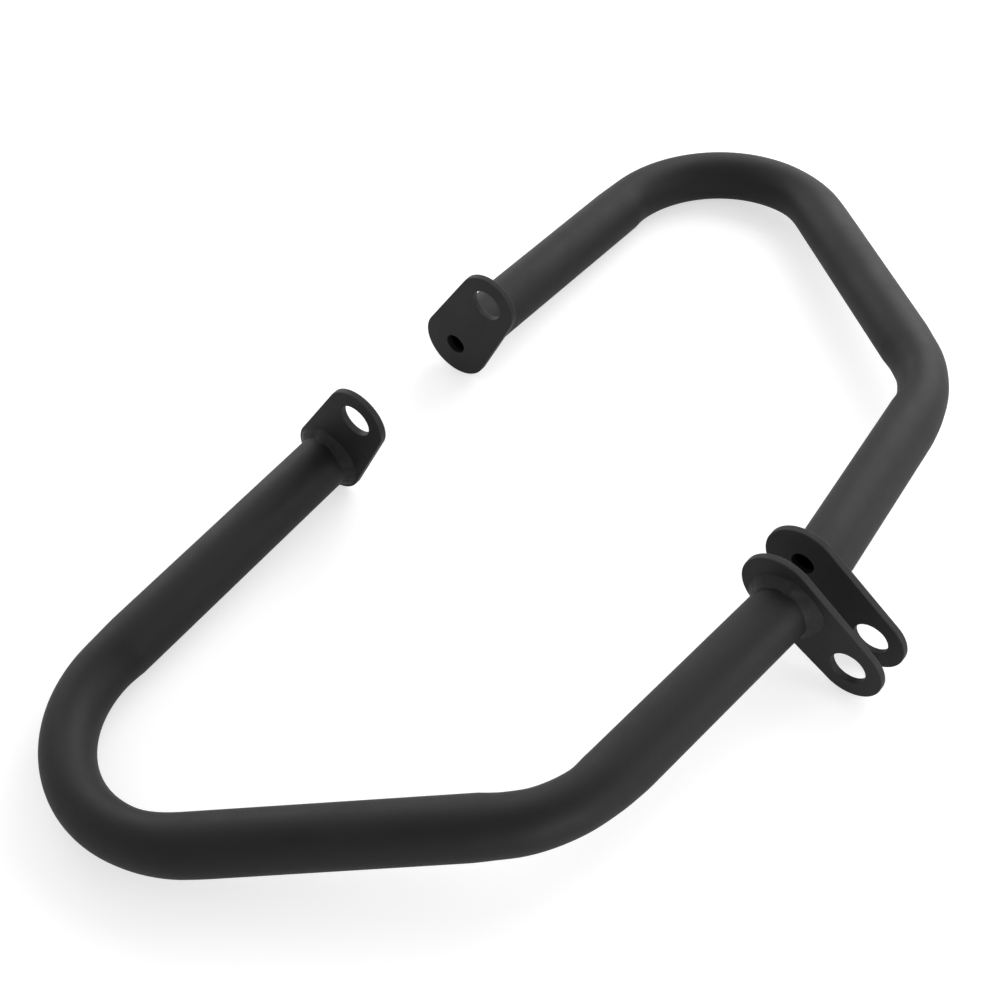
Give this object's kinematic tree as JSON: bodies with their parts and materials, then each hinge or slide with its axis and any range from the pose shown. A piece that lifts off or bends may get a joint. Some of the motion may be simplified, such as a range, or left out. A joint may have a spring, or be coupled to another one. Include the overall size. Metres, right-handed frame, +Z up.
{
  "type": "motorcycle crash bars",
  "caption": "Mirrored pair of bent tube crash bars for the front of a motorcycle frame, each with tapered bolt plates welded across its tube ends.",
  "frame": {"origin": "middle of the pair's bounding box, at floor level", "axes": "+X to the right-hand bar, across the machine and along every bolt; +Y from the lower plates to the upper plates; +Z up from the floor that the pair lies on"},
  "size_m": [0.63, 0.351, 0.0854],
  "materials": {
    "tube_coat": "satin black powder coat on steel tube",
    "plate_coat": "satin black powder coat on steel plate",
    "weld_coat": "satin black powder coat over a rippled weld bead"
  },
  "bodies": {
    "root": {"left_tube": "tube_coat", "right_tube": "tube_coat", "left_upper_plate": "plate_coat", "right_upper_plate": "plate_coat", "left_lower_plate": "plate_coat", "right_lower_plate": "plate_coat", "left_upper_weld": "weld_coat", "right_upper_weld": "weld_coat", "left_lower_weld": "weld_coat", "right_lower_weld": "weld_coat"}
  },
  "joints": []
}
